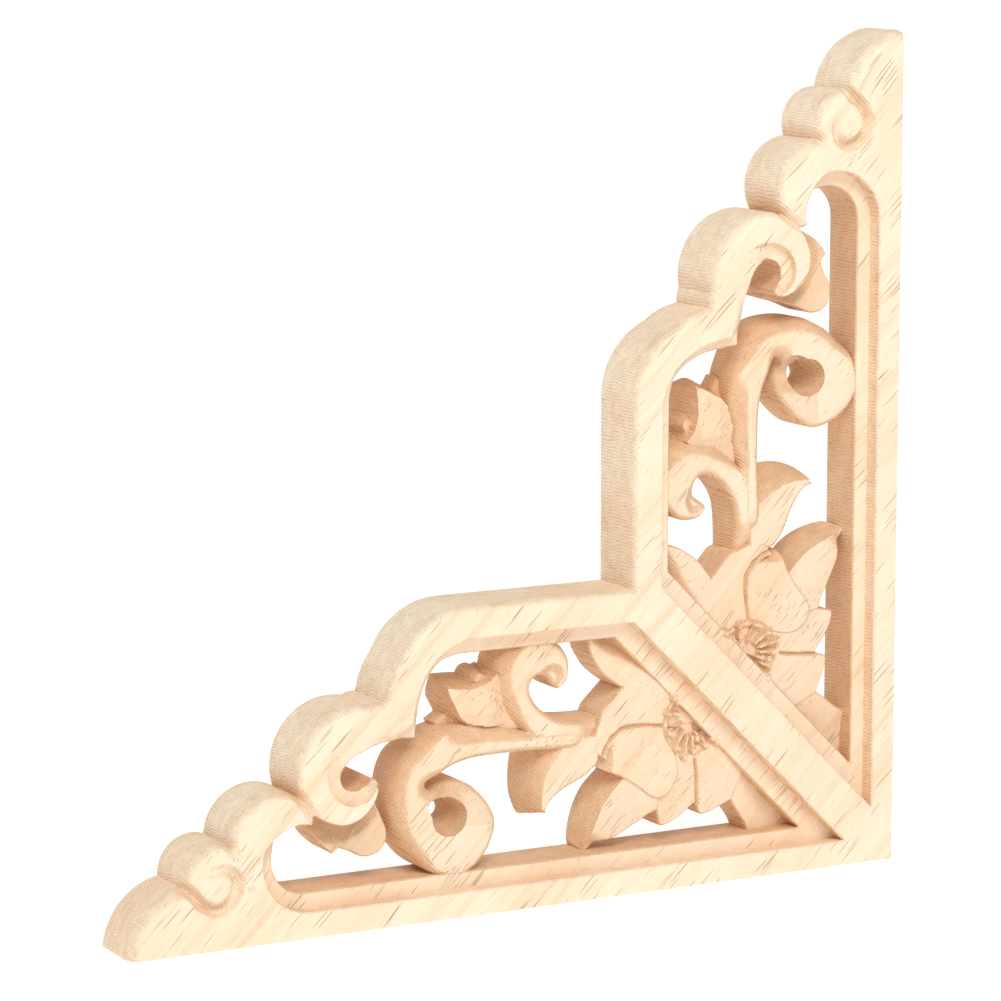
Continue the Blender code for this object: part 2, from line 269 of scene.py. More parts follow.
def window_outline():
    """The opening through the board, round the curl of the large scallop and under the arch."""
    return (
        [(STRAP_EDGE + REBATE_EDGE, REBATE_EDGE)]
        + arc((WINDOW_END[0], REBATE_EDGE + EDGE_RADIUS), EDGE_RADIUS, -90, 12, 24)
        + bend([(163.5, 19.5), (163.1, 22.0), (162.2, 24.2), (161.2, 25.4), (159.4, 26.1), (157.7, 26.1)])
        + bend([(157.7, 26.1), (156.3, 25.7), (155.4, 25.9), (154.8, 26.6), (154.6, 27.9)])
        + bend([(154.6, 27.9), (151.8, 26.3), (148.1, 25.0), (144.6, 25.4), (141.8, 27.0), (139.8, 29.2)])
        + bend([(139.8, 29.2), (138.8, 31.6), (138.8, 33.6), (139.7, 34.9), (140.6, 34.7), (141.3, 33.4)])
        + bend([(141.3, 33.4), (142.9, 32.2), (145.0, 32.3), (146.6, 33.1), (147.4, 34.6), (147.7, 36.2)])
        + bend(
            [(147.7, 36.2), (147.2, 38.2), (145, 40.4), (141, 42.0), (137, 42.7), (132, 42.7), (127.4, 42.3)]
        )
        + bend([(127.4, 42.3), (126.9, 47), (125.9, 52), (123.6, 56.6), (120.4, 59.6), (116, ARCH_EDGE)])
        + [(STRAP_EDGE + ARCH_EDGE, ARCH_EDGE)]
    )


def curl_step_outline():
    """The sunk crescent beside the eye of the large scallop's curl."""
    outer = [(149.6, 42.4), (151.1, 39.6), (151.6, 36.9), (151.4, 35.0), (150.5, 32.6), (149.0, 30.8)]
    outer += [(146.8, 29.5), (144.3, 29.1), (141.7, 29.9), (140.2, 31.1), (138.8, 33.2)]
    return bend(outer) + [(140.6, 35.0), (142, 34.4), (144.6, 35), (145.4, 37), (144.4, 41)]


def lower_scroll_outline():
    return (
        bend([(78, 41), (90, 40), (98, 40.6), (104, 42), (112, 43.4), (119.5, 43), (126, 40.6)])
        + bend([(126, 40.6), (130, 37.6), (132.2, 33), (132.9, 27), (132.2, 21.4), (129.9, 16.4)])
        + bend([(129.9, 16.4), (126, 12.1), (121, 9.2), (115.5, 8.4), (111.4, 10.4), (108.2, 14)])
        + bend([(108.2, 14), (106.6, 18), (106.4, 21.2), (107.7, 24.2), (109.9, 27.0), (112.3, 29.3)])
        + bend([(112.3, 29.3), (114.8, 30.6), (117.4, 30.7), (119.8, 30.2), (122.0, 29.2), (123.4, 29.6)])
        + bend([(123.4, 29.6), (123.4, 31.0), (121.3, 32.6)])
        + bend([(121.3, 32.6), (117.5, 34.5), (112.5, 35.7), (107, 36), (98, 36), (88, 35.5), (78, 36)])
    )


def upper_scroll_outline():
    return bend(
        [(72, 37.6), (80, 37.2), (88, 36.9), (95.5, 38.8), (99.8, 41.8), (102.7, 45), (104.5, 48.8)]
        + [(105.3, 53), (104.9, 57.4), (102.6, 61.2), (98.5, 62.6), (93, 62.2), (89, 60), (86.9, 56.8)]
        + [(86.7, 53.5), (87.4, 51.2), (89.2, 49.7), (90.6, 50.6), (92, 52.4), (94.6, 53.4), (96.6, 52)]
        + [(96.8, 49.5), (95, 46.3), (91.8, 43.7), (87.8, 42.2), (80, 41.7), (72, 42)]
    )


def scroll_end_outline():
    """Where the tip of the lower scroll's curl sinks beside its eye."""
    return [(106, 20), (106, 26), (111, 30), (116, 32), (121, 31)] + bend(
        [(122.8, 29.4), (124.0, 27.6), (124.0, 25.2), (122.6, 22.6), (118.6, 21.4), (112, 20)]
    )


def leaf_outline():
    tip = bend([(95.6, 19.9), (94.9, 18.9), (93.9, 18.7), (93.0, 19.4), (92.8, 20.6)])
    right = [(92.8, 20.6), (91.6, 23.0), (87.9, 25.6), (82.4, 27.8), (79.9, 29.5), (78.2, 31.5), (77.6, 38)]
    return bend(LEAF_SIDE) + tip + bend(right)


def frill_tooth_outline():
    outer = [(158.5, 27), (155.6, 25.5), (153.5, 23.6), (151.4, 20.5), (149, 18.2), (147.7, 17.2)]
    side = [(147.7, 17.2), (145.8, 18.6), (143.2, 20.2), (140.5, 23)]
    return bend(outer) + bend(side) + [(140, 29), (148, 29), (156, 29)]


def frill_lobe_outline():
    outer = [(146.8, 18.6), (144.6, 17.8), (142.4, 16.9), (140.6, 15.8), (138.6, 15.5), (135.8, 16.0)]
    side = [(135.8, 16.0), (134.1, 18.0), (133.7, 21), (134.6, 23.5), (135.9, 26.8), (137.6, 33)]
    return bend(outer) + bend(side) + [(141, 33), (148, 28)]


def bud_outline():
    return (
        bend([(100, 42.4), (107, 42.6), (112, 43.0), (116.4, 44.2)])
        + bend([(116.4, 44.2), (117.2, 46.2), (118.8, 49.4), (118.6, 51.6), (117.6, 54.3)])
        + bend([(117.6, 54.3), (114, 54.2), (110.9, 54.0)])
        + [(106, 56), (100, 48)]
    )


def bud_back_outline():
    return bend(
        [(104, 50), (111.2, 52.2), (111.4, 53.6), (110.4, 55.4), (108.4, 56.0), (106.0, 55.3), (103, 58)]
    )


def web_outline():
    """Solid wood in the crotch between the bud and the lower scroll's stem."""
    return [(98, 40.5), (112, 42), (118.6, 42.6), (119.4, 43.9), (116.6, 45.6), (108, 46), (98, 45)]


def heart_outline():
    """Solid wood under the flower's heart, where the petals meet."""
    return [(48, 28), (62, 32), (67, 37.5), (66, 41), (60, 47), (50, 40)]


def petal_outlines():
    """The petals that spread from the flower's heart by the strap, by name."""
    crease = [(61.7, 37.4), (65.7, 37.6), (68.8, 37.8), (71.6, 37.6)]
    crease += [(74.2, 35.9), (75.8, 34.0), (76.9, 31.8)]
    return {
        "petal_top": bend([(72.4, 48.3), (76.8, 51.7), (78.8, 54.4), (80.3, 57), (80.9, 59.6), (81.5, 64)])
        + [(72, 66), (52, 46), (58, 40)],
        "petal_upper": bend([(79.6, 38), (78.6, 40.8), (77.7, 43.3), (75.0, 45.9), (72.4, 48.4)])
        + [(68, 49), (56, 46), (52, 38)]
        + bend(crease)
        + [(79.4, 33.5)],
        "petal_foot": bend([(41.7, 17.6), (39.6, 14.6), (37.4, 11.6), (36, 8.6)])
        + [(24, 8.6), (20, 8), (16, 12), (44, 36)],
        "petal_lower": bend(
            [(51.6, 19.0), (51.1, 16.9), (50.1, 15.3), (46.9, 15.9), (43.3, 17.2), (41.5, 17.9)]
        )
        + [(38, 26), (46, 38), (54, 34)],
        "petal_bottom": bend(
            [(62.5, 18.4), (61.9, 15.9), (61.3, 13.8), (58.5, 14.2), (55.2, 15.9), (51.5, 18.6)]
        )
        + [(49, 30), (54, 40), (62, 34)],
        "petal_corner": bend(CORNER_LEFT)
        + bend(
            [(81.6, 11.1), (81.0, 9.4), (79.4, 9.9), (78.2, 11.4)]
            + [(76, 11.7), (73, 12.4), (67.8, 15), (64.6, 16.8)]
        )
        + [(62.2, 17.7), (60, 30)],
        "petal_left": bend(
            [(60, 37.6), (62.5, 38.3), (66.5, 38.7), (70.4, 38.5), (73.7, 37.4), (76.3, 35), (77.7, 32.2)]
            + [(77.6, 29.6), (75.2, 28.2), (72.5, 27), (69.5, 25.2), (66.8, 23.2), (64.4, 21.4), (62.2, 20.7)]
            + [(59.8, 21.6), (57.9, 24), (57.3, 27), (57.8, 30.5), (59, 34.5)]
        ),
    }


def resampled(outline):
    """A closed outline in steps of about OUTLINE_STEP, without points that nearly repeat."""
    made = []
    for a, b in zip(outline, outline[1:] + outline[:1]):
        parts = max(1, math.ceil(math.dist(a, b) / OUTLINE_STEP))
        made += [
            (a[0] + (b[0] - a[0]) * j / parts, a[1] + (b[1] - a[1]) * j / parts) for j in range(parts)
        ]
    least = OUTLINE_STEP * 0.55
    kept = []
    for p in made:
        if not kept or math.dist(p, kept[-1]) > least:
            kept.append(p)
    if math.dist(kept[0], kept[-1]) <= least:
        kept.pop()
    return np.array(kept)


def inside(points, outline):
    """Which points lie inside a closed outline, by the even-odd rule."""
    found = np.zeros(len(points), bool)
    low, high = outline.min(0), outline.max(0)
    near = np.where(((points >= low) & (points <= high)).all(1))[0]
    x, y = points[near, 0], points[near, 1]
    odd = np.zeros(len(near), bool)
    ends = np.roll(outline, -1, axis=0)
    for (ax, ay), (bx, by) in zip(outline, ends):
        if ay == by:
            continue
        crosses = (ay > y) != (by > y)
        odd ^= crosses & (x < (bx - ax) * (y - ay) / (by - ay) + ax)
    found[near] = odd
    return found


def to_line(points, line, closed=True):
    """Distance from each point to a line of points."""
    line = np.asarray(line, float)
    starts = line if closed else line[:-1]
    ends = np.roll(line, -1, axis=0) if closed else line[1:]
    best = np.full(len(points), 1e9)
    for a, b in zip(starts, ends):
        run = b - a
        t = np.clip(((points - a) @ run) / max(run @ run, 1e-12), 0, 1)
        best = np.minimum(best, ((points - a - t[:, None] * run) ** 2).sum(1))
    return np.sqrt(best)


def from_point(points, middle):
    return np.hypot(points[:, 0] - middle[0], points[:, 1] - middle[1])


def rim(distance, width, depth):
    """Drop of a rounded edge, by the distance in from the outline."""
    t = np.clip(1 - distance / width, 0, 1)
    return depth * (1 - np.sqrt(1 - t * t))


def smooth(value, low, high):
    t = np.clip((value - low) / (high - low), 0, 1)
    return t * t * (3 - 2 * t)


def groove(points, line, half_width, depth):
    """Depth of a V groove along an open line."""
    return depth * np.clip(1 - to_line(points, line, closed=False) / half_width, 0, 1)


class Layer:
    """An outline and the depth of its face at given points.

    Kind is base, cut (in the base), added (over both), sunk (in what is there) or hole (through it all).
    A fine layer gets the close mesh, and level is how strongly its faces show the cutter's lines.
    """

    def __init__(self, name, kind, outline, depth, fine=True, level=0.0):
        self.name = name
        self.kind = kind
        self.outline = resampled(outline)
        self.depth = depth
        self.fine = fine
        self.level = level


def base_marks(points):
    """What is carved into the base's face: the volute's winding groove, and the valleys between scallops."""
    turn = np.degrees(np.arctan2(points[:, 1] - VOLUTE[1], points[:, 0] - VOLUTE[0]))
    turn = np.where(turn > 30, turn - 360, turn)
    share = 1 - 0.9 * smooth(-turn, 150, 300)
    off = to_line(points, VOLUTE_LINE, closed=False)
    made = VOLUTE_GROOVE_DEPTH * share * (1 - smooth(off, 0.0, VOLUTE_GROOVE_HALF))
    for line, fade in VALLEYS:
        left = np.clip(1 - from_point(points, line[0]) / fade, 0, 1)
        made = np.maximum(made, groove(points, line, VALLEY_HALF, VALLEY_DEPTH) * left)
    return made


def base_depth(width, depth):
    """Depth function of the base: a wide rounding on the outer side, and soft arrises by the cuts."""

    def at(points, distance):
        by_step = rim(to_line(points, REBATE), ARRIS, ARRIS) * rebate_share(points)
        arris = np.maximum(rim(to_line(points, WINDOW), ARRIS, ARRIS), by_step)
        return rim(distance, width, depth) + base_marks(points) + arris

    return at


def rebate_share(points):
    """How far the sunk border is from fading out, at its two ends on the large scallops."""
    u, v = points[:, 0], points[:, 1]
    near_tip = np.where((u > 150) & (v < 34), 1 - 0.7 * smooth(v, 23.5, 26.4), 1.0)
    by_arch = (u > 112) & (v > 37)
    fade = np.where(by_arch, 1 - smooth(u, 128, 143), 1.0)
    fade = np.where((u > 133) & (u < 152) & (v > 22), np.minimum(fade, smooth(v, 38, 41)), fade)
    return fade * near_tip


def rebate_depth(points, distance):
    """The sunk border: a step that softens to a chamfer by the arch."""
    by_arch = (points[:, 0] > 112) & (points[:, 1] > 37)
    soften = np.where(by_arch, smooth(points[:, 0], 116, 128), 0.0)
    ramp = np.clip(distance / 2.6, 0, 1)
    full = REBATE_DEPTH * ((1 - soften) + soften * ramp) * rebate_share(points)
    return full + rim(to_line(points, WINDOW), ARRIS, ARRIS)


def curl_step_depth(points, distance):
    turn = np.degrees(np.arctan2(points[:, 1] - CURL_EYE[1], points[:, 0] - CURL_EYE[0]))
    return CURL_STEP_DEPTH * smooth(turn, 58, -30) * smooth(turn, -160, -112)


def scroll_profile(distance, wide):
    """A narrow round edge where `wide` is 0, and a broad flank where it is 1."""
    width = 1.3 + 3.0 * wide
    depth = 1.1 + 4.6 * wide
    t = np.clip(1 - distance / width, 0, 1)
    return depth * (1 - np.sqrt(1 - t * t))


def lower_scroll_depth(points, distance):
    u, v = points[:, 0], points[:, 1]
    wide = smooth(u, 119.5, 126.5) * smooth(v, 9.5, 13)
    crown = 0.7 * np.clip(1 - distance / 4.2, 0, 1) ** 2
    stem = 2.2 * smooth(v, 38.2, 43.6) * smooth(u, 93, 99) * (1 - smooth(u, 114, 121))
    face = LOWER_SCROLL_TOP + scroll_profile(distance, wide) + crown * (1 - wide)
    return face + stem + 2.6 * smooth(u, 87, 78.5)


def upper_scroll_depth(points, distance):
    u, v = points[:, 0], points[:, 1]
    wide = smooth(u, 96.5, 101.5) * smooth(v, 38, 41)
    crown = 0.7 * np.clip(1 - distance / 4.2, 0, 1) ** 2
    tip = 1.4 * smooth(from_point(points, (91.2, 52.4)), 4.2, 1.2)
    face = UPPER_SCROLL_TOP + scroll_profile(distance, wide) + crown * (1 - wide)
    return face + tip + 2.4 * smooth(u, 86, 77.5)


def scroll_end_depth(points, distance):
    lip = to_line(points, LOWER_SCROLL)
    return lower_scroll_depth(points, lip) + 4.4 * smooth(points[:, 0], 113.2, 122.4)


def eye_depth(points, distance):
    """The conical pit of the lower scroll's eye."""
    share = np.clip((EYE_RADIUS - from_point(points, EYE)) / (EYE_RADIUS - HOLE_RADIUS), 0, 1)
    return EYE_TOP + EYE_FALL * share**0.8


def leaf_depth(points, distance):
    """A ridge that parts a face, which rolls over on the right, from a flank that falls to the back."""
    left = to_line(points, LEAF_LEFT, closed=False)
    ridge = to_line(points, LEAF_RIDGE, closed=False)
    beyond = inside(points, LEAF_FLANK)
    share = ridge / np.maximum(ridge + left, 0.01)
    flank = LEAF_TOP + 10.4 * share**1.6
    face = LEAF_TOP + rim(distance, 1.1, 0.9) + 0.9 * np.clip(ridge / 12, 0, 1) ** 2
    return np.where(beyond, flank, face)


def frill_depth(base):
    """A cove that rises from the curl's wall to the outer edge."""

    def at(points, distance):
        to_curl = to_line(points, WINDOW)
        return base + rim(distance, 0.6, 0.5) + 3.4 * np.clip(1 - to_curl / 5.5, 0, 1)

    return at


def bud_depth(points, distance):
    """A flat face with a crisp edge, and flanks that splay out to the back."""
    fall = 1.6 * smooth(points[:, 0], 108, 101.5)
    edge = to_line(points, BUD_EDGE, closed=False)
    beyond = ~inside(points, BUD_FACE)
    share = edge / np.maximum(edge + distance, 0.01)
    face = BUD_TOP + fall - 0.5 * smooth(edge, 0.5, 3.5)
    return np.where(beyond, BUD_TOP + 9.4 * share, face)


def bud_back_depth(points, distance):
    return BUD_BACK_TOP + 6.0 * np.clip(1 - distance / 1.1, 0, 1)


def web_depth(points, distance):
    return WEB_TOP + rim(distance, 0.8, 0.8) + 4.0 * smooth(points[:, 0], 111.5, 116.5)


def heart_depth(points, distance):
    return HEART_TOP + heart_marks(points)


def heart_marks(points):
    """The bowl round the flower's heart, and the threads that stand up in it, as depth to add."""
    out = from_point(points, HEART)
    bowl = HEART_BOWL * (1 - smooth(out, 5.4, 7.6))
    raised = np.zeros(len(points))
    for foot, end in stamens():
        thread = to_line(points, [foot, end], closed=False)
        raised = np.maximum(raised, 1 - smooth(thread, 0.25, 0.7))
        knob = from_point(points, end)
        raised = np.maximum(raised, (1 - smooth(knob, 0.6, 1.15)) - 0.5 * (1 - smooth(knob, 0.1, 0.45)))
    pit = 0.5 * smooth(out, 4.0, 5.5) * (1 - smooth(out, 7.2, 8.4))
    left = 1 - smooth(out, HEART_REACH - 1, HEART_REACH)
    return np.maximum(bowl, pit) - (HEART_BOWL + 0.2) * raised * left


def stamens():
    """Foot and end of each thread of the heart."""
    feet = np.array(STAMEN_FEET)
    count = len(STAMEN_ENDS)
    places = np.linspace(0, len(feet) - 1, count)
    made = []
    for place, end in zip(places, STAMEN_ENDS):
        low = min(int(place), len(feet) - 2)
        foot = feet[low] + (feet[low + 1] - feet[low]) * (place - low)
        made.append((tuple(foot + (np.array(end) - foot) * STAMEN_START), end))
    return made


def petal_depth(name):
    """Depth function of one petal's face."""

    def face(u, v):
        spread = np.hypot(u - HEART[0], v - HEART[1])
        if name == "petal_top":
            by_strap = 4.8 + 4.2 * smooth(v, 49, 61)
            off_strap = (u - v - STRAP_EDGE) / math.sqrt(2)
            outer = 5.4 + 1.2 * smooth(v, 48, 55)
            return by_strap + (outer - by_strap) * smooth(off_strap, 0, 4.6)
        if name == "petal_upper":
            return 4.8 + 0.6 * smooth(spread, 8, 20)
        if name == "petal_foot":
            return 6.6 + 2.4 * smooth(u, 43, 29)
        if name in ("petal_lower", "petal_bottom"):
            return 5.2 + 1.3 * smooth(spread, 9, 23)
        if name == "petal_corner":
            return 5.8 + 1.2 * smooth(spread, 17, 30) + 2.0 * smooth(v, 15, 9.5) * smooth(u, 74, 80)
        flank = 2.6 * smooth(u, 74.4, 77.8) * smooth(v, 27.5, 30)
        return 4.9 + 0.5 * smooth(spread, 10, 20) + flank

    def at(points, distance):
        u, v = points[:, 0], points[:, 1]
        made = face(u, v) + heart_marks(points)
        if name in ("petal_left", "petal_upper"):
            off_crease = smooth(to_line(points, CREASE, closed=False), 1.6, 0.6)
            return made + groove(points, CREASE, 0.55, 0.8) + rim(distance, 0.5, 0.3) * (1 - off_crease)
        if name in ("petal_lower", "petal_bottom"):
            made += groove(points, LOWER_CREASE, 0.5, 0.8)
        if name == "petal_corner":
            beyond = inside(points, CORNER_FLANK)
            ridge = to_line(points, CORNER_RIDGE, closed=False)
            left = to_line(points, CORNER_LEFT, closed=False)
            share = ridge / np.maximum(ridge + left, 0.01)
            return np.where(beyond, made + 8.4 * share**1.15, made + rim(distance, 0.5, 0.35))
        return made + rim(distance, 0.45, 0.4)

    return at


# The volute's groove, and the outlines that several depth functions measure from.
VOLUTE_LINE = bend(
    [(187.4, 15.8), (184.9, 13.8), (182.9, 11.4), (179.8, 9.6), (176.6, 10.0), (174.4, 12.4)]
    + [(173.7, 15.2), (175.0, 17.5), (177.6, 18.3), (180.3, 17.4)]
)
WINDOW = resampled(window_outline())
REBATE = resampled(rebate_outline())
LOWER_SCROLL = resampled(lower_scroll_outline())


def build_layers():
    layers = [Layer("body", "base", body_outline(), base_depth(*BODY_RIM), fine=False)]
    for number, (u, v, radius, width, depth) in enumerate(SCALLOPS, start=1):
        disc = arc((u, v), radius, 0, 358, 180)
        layers.append(Layer(f"scallop_{number}", "base", disc, base_depth(width, depth), fine=False))
    layers += [
        Layer("rebate", "cut", rebate_outline(), rebate_depth, fine=False, level=0.1),
        Layer("curl_step", "cut", curl_step_outline(), curl_step_depth),
        Layer("window", "cut", window_outline(), None, fine=False),
        Layer("frill_lobe", "added", frill_lobe_outline(), frill_depth(FRILL_LOBE_TOP), level=0.6),
        Layer("frill_tooth", "added", frill_tooth_outline(), frill_depth(FRILL_TOOTH_TOP), level=0.6),
        Layer("web", "added", web_outline(), web_depth, level=0.5),
        Layer("heart", "added", heart_outline(), heart_depth, level=0.3),
        Layer("bud_back", "added", bud_back_outline(), bud_back_depth, level=0.6),
        Layer("bud", "added", bud_outline(), bud_depth, level=0.3),
        Layer("leaf", "added", leaf_outline(), leaf_depth, level=0.15),
        Layer("lower_scroll", "added", lower_scroll_outline(), lower_scroll_depth, level=0.15),
        Layer("upper_scroll", "added", upper_scroll_outline(), upper_scroll_depth, level=0.15),
    ]
    for name, outline in petal_outlines().items():
        layers.append(Layer(name, "added", outline, petal_depth(name), level=0.25))
    layers += [
        Layer("scroll_end", "sunk", scroll_end_outline(), scroll_end_depth, level=0.5),
        Layer("eye", "sunk", arc(EYE, EYE_RADIUS, 0, 355, 71), eye_depth, level=0.8),
        Layer("hole", "hole", arc(EYE, HOLE_RADIUS, 0, 350, 35), None),
    ]
    return layers


def ridge_lines():
    """Open lines that the mesh keeps, so that a ridge or the bottom of a groove stays sharp."""
    lines = [LEAF_RIDGE, CORNER_RIDGE, BUD_EDGE, CREASE, LOWER_CREASE] + [line for line, _ in VALLEYS]
    lines += [(foot, end) for foot, end in stamens()]
    made = []
    for line in lines:
        ends = [np.array(line[-1])]
        stretches = []
        for a, b in zip(line, line[1:]):
            parts = max(1, round(math.dist(a, b) / OUTLINE_STEP))
            stretches += [np.array(a) + (np.array(b) - np.array(a)) * i / parts for i in range(parts)]
        made.append(np.array(stretches + ends))
    return made


def hex_lattice(low, high, step):
    rows = np.arange(low[1], high[1], step * math.sqrt(0.75))
    made = []
    for number, v in enumerate(rows):
        row = np.arange(low[0] + (number % 2) * step / 2, high[0], step)
        made.append(np.column_stack([row, np.full(len(row), v)]))
    return np.concatenate(made)


def in_half(points):
    u, v = points[:, 0], points[:, 1]
    return (v > 0) & (u > v) & (u < LEG + 1)


def has_material(member, layers):
    solid = np.zeros(member.shape[0], bool)
    for k, layer in enumerate(layers):
        if layer.kind in ("base", "added"):
            solid |= member[:, k]
        elif layer.depth is None:
            solid &= ~member[:, k]
    return solid


def inset_points(outline, inset):
    """Points a little inside and outside an outline, where a narrow rim starts."""
    ahead = np.roll(outline, -1, axis=0) - np.roll(outline, 1, axis=0)
    normal = np.column_stack([-ahead[:, 1], ahead[:, 0]])
    normal /= np.maximum(np.linalg.norm(normal, axis=1), 1e-9)[:, None]
    made = np.concatenate([outline + normal * inset, outline - normal * inset])
    return made[to_line(made, outline) > inset * 0.8]


def clear_of(points, layers, off_outline, off_ridge):
    """The points that keep their distance from every outline and every ridge line."""
    keep = np.ones(len(points), bool)
    for layer in layers:
        keep &= to_line(points, layer.outline) > off_outline
    for line in ridge_lines():
        keep &= to_line(points, line, closed=False) > off_ridge
    return points[keep]


def plan_points(layers):
    """Lattice points: close together where the face is carved, far apart where it is flat."""
    fine = hex_lattice((0, 0), (LEG, ARCH_TOP + 1), FINE_STEP)
    fine = fine[in_half(fine)]
    member = np.column_stack([inside(fine, layer.outline) for layer in layers])
    solid = has_material(member, layers)
    fine, member = fine[solid], member[solid]
    carved = np.zeros(len(fine), bool)
    for k, layer in enumerate(layers):
        if layer.fine:
            carved |= member[:, k]
    for u, v, radius, width, _ in SCALLOPS:
        out = from_point(fine, (u, v))
        carved |= (out > radius - width - 0.6) & (out < radius + 0.1)
    carved |= to_line(fine, layers[0].outline) < BODY_RIM[0] + 0.4
    carved |= from_point(fine, VOLUTE) < VOLUTE_REACH
    for line, _ in VALLEYS:
        carved |= to_line(fine, line, closed=False) < 2.2
    carved |= (fine[:, 0] > 112) & (fine[:, 1] > 38) & (to_line(fine, WINDOW) < 4.5)
    carved |= (fine[:, 0] > 155) & (fine[:, 1] > 16) & (fine[:, 0] < 172)
    fine = fine[carved & (from_point(fine, HEART) > HEART_REACH)]
    coarse = hex_lattice((0, 0), (LEG, ARCH_TOP + 1), COARSE_STEP)
    lattice = np.concatenate([fine, coarse[in_half(coarse)]])
    side = HEART_REACH + 0.5
    heart = hex_lattice((HEART[0] - side, HEART[1] - side), (HEART[0] + side, HEART[1] + side), HEART_STEP)
    heart = heart[from_point(heart, HEART) < HEART_REACH]
    near = np.concatenate([inset_points(layer.outline, ARRIS) for layer in layers])
    kept = [clear_of(lattice, layers, ARRIS + 0.16, 0.25)]
    kept.append(clear_of(near, layers, ARRIS * 0.75, 0.15))
    kept.append(clear_of(heart, layers, 0.12, 0.1))
    points = np.concatenate(kept)
    inner = (points[:, 1] > 0.25) & (points[:, 0] - points[:, 1] > 0.35)
    return points[inner]


def triangulated(points, lines):
    """A constrained Delaunay triangulation of loose points and closed or open lines."""
    coords = [Vector(p) for p in points]
    edges = []
    for line, closed in lines:
        start = len(coords)
        coords += [Vector(p) for p in line]
        edges += [(start + i, start + i + 1) for i in range(len(line) - 1)]
        if closed:
            edges.append((start + len(line) - 1, start))
    verts, _, faces, _, _, _ = delaunay_2d_cdt(coords, edges, [], 0, SNAP)
    return np.array([tuple(v) for v in verts], float), np.array([tuple(f) for f in faces], int)


def depths_at(layers, depth_of, vertex, codes):
    """Depth of the face at each vertex, as the layers in its face's code leave it."""
    result = np.full(len(vertex), THICK)
    for k, layer in enumerate(layers):
        has = (codes >> k) & 1 == 1
        if layer.depth is None:
            if layer.kind == "cut":
                result[has] = THICK
            continue
        level = depth_of[k, vertex[has]]
        if layer.kind in ("cut", "sunk"):
            result[has] = np.maximum(result[has], level)
        else:
            result[has] = np.minimum(result[has], level)
    return np.round(np.clip(result, 0, THICK), 3)


def tool_level(layers, codes, verts, faces, depths):
    """How strongly each face shows the cutter's lines: by its layer, and by its slope."""
    level = np.zeros(len(faces))
    for k, layer in enumerate(layers):
        has = (codes >> k) & 1 == 1
        level[has] = np.where(layer.kind == "base", level[has], np.maximum(level[has], layer.level))
    a = np.column_stack([verts[faces[:, 1]] - verts[faces[:, 0]], depths[:, 1] - depths[:, 0]])
    b = np.column_stack([verts[faces[:, 2]] - verts[faces[:, 0]], depths[:, 2] - depths[:, 0]])
    normal = np.cross(a, b)
    slope = np.hypot(normal[:, 0], normal[:, 1]) / np.maximum(np.abs(normal[:, 2]), 1e-9)
    on_base = np.array([depths[i].min() < 0.4 for i in range(len(faces))])
    level[on_base] = 0.0
    return np.maximum(level, smooth(slope, 0.12, 0.6))


def half_mesh():
    """Vertices (u, v, d) and polygons for the half with u > v, and each polygon's tooled and inner value; the
    inner value sets the painted shade on the window's walls.
    """
    layers = build_layers()
    lines = [(layer.outline, True) for layer in layers]
    diagonal = np.column_stack([np.linspace(-4, 80, 120)] * 2)
    base_line = np.column_stack([np.linspace(-4, LEG + 4, 90), np.zeros(90)])
    lines += [(diagonal, False), (base_line, False)]
    lines += [(line, False) for line in ridge_lines()]
    verts, faces = triangulated(plan_points(layers), lines)
    centroids = verts[faces].mean(axis=1)
    keep = in_half(centroids)
    faces, centroids = faces[keep], centroids[keep]
    member = np.column_stack([inside(centroids, layer.outline) for layer in layers])
    solid = has_material(member, layers)
    faces, centroids, member = faces[solid], centroids[solid], member[solid]
    code = (member * (1 << np.arange(len(layers)))).sum(axis=1)

    depth_of = np.full((len(layers), len(verts)), np.nan)
    for k, layer in enumerate(layers):
        if layer.depth is None:
            continue
        touched = np.unique(faces[member[:, k]])
        if len(touched):
            points = verts[touched]
            depth_of[k, touched] = layer.depth(points, to_line(points, layer.outline))

    corner_codes = np.repeat(code[:, None], 3, axis=1)
    depths = depths_at(layers, depth_of, faces.ravel(), corner_codes.ravel()).reshape(-1, 3)
    tool = tool_level(layers, code, verts, faces, depths)
    made, index, levels = [], {}, {}

    def vertex_id(p, d):
        key = (p, round(float(d), 3))
        if key not in index:
            index[key] = len(made)
            made.append((verts[p][0], verts[p][1], key[1]))
            levels.setdefault(p, set()).add(key[1])
        return index[key]

    polygons, tooled = [], []
    edge_sides = {}
    for f, face in enumerate(faces):
        ids = [vertex_id(int(p), d) for p, d in zip(face, depths[f])]
        polygons.append(ids[::-1])
        tooled.append(float(tool[f]))
        for i in range(3):
            p, q = int(face[i]), int(face[(i + 1) % 3])
            if (q, p) in edge_sides:
                edge_sides[(q, p)] += (depths[f][(i + 1) % 3], depths[f][i])
            else:
                edge_sides[(p, q)] = (depths[f][i], depths[f][(i + 1) % 3])
    on_mirror = np.abs(verts[:, 0] - verts[:, 1]) < ON_MIRROR
    single = [edge for edge, sides in edge_sides.items() if len(sides) == 2]
    rims = [(p, q) for p, q in single if not (on_mirror[p] and on_mirror[q])]
    for p, q in rims:
        edge_sides[(p, q)] += (THICK, THICK)
        vertex_id(p, THICK)
        vertex_id(q, THICK)
    add_walls(edge_sides, levels, vertex_id, polygons, tooled)
    add_back(layers, verts, rims, levels, on_mirror, vertex_id, polygons, tooled)
    made = np.array(made)
    middles = np.array([made[ring, :2].mean(axis=0) for ring in polygons])
    inner = inside(middles, WINDOW) | (to_line(middles, WINDOW) < INNER_REACH)
    return made, polygons, tooled, list(inner * np.array(tooled))


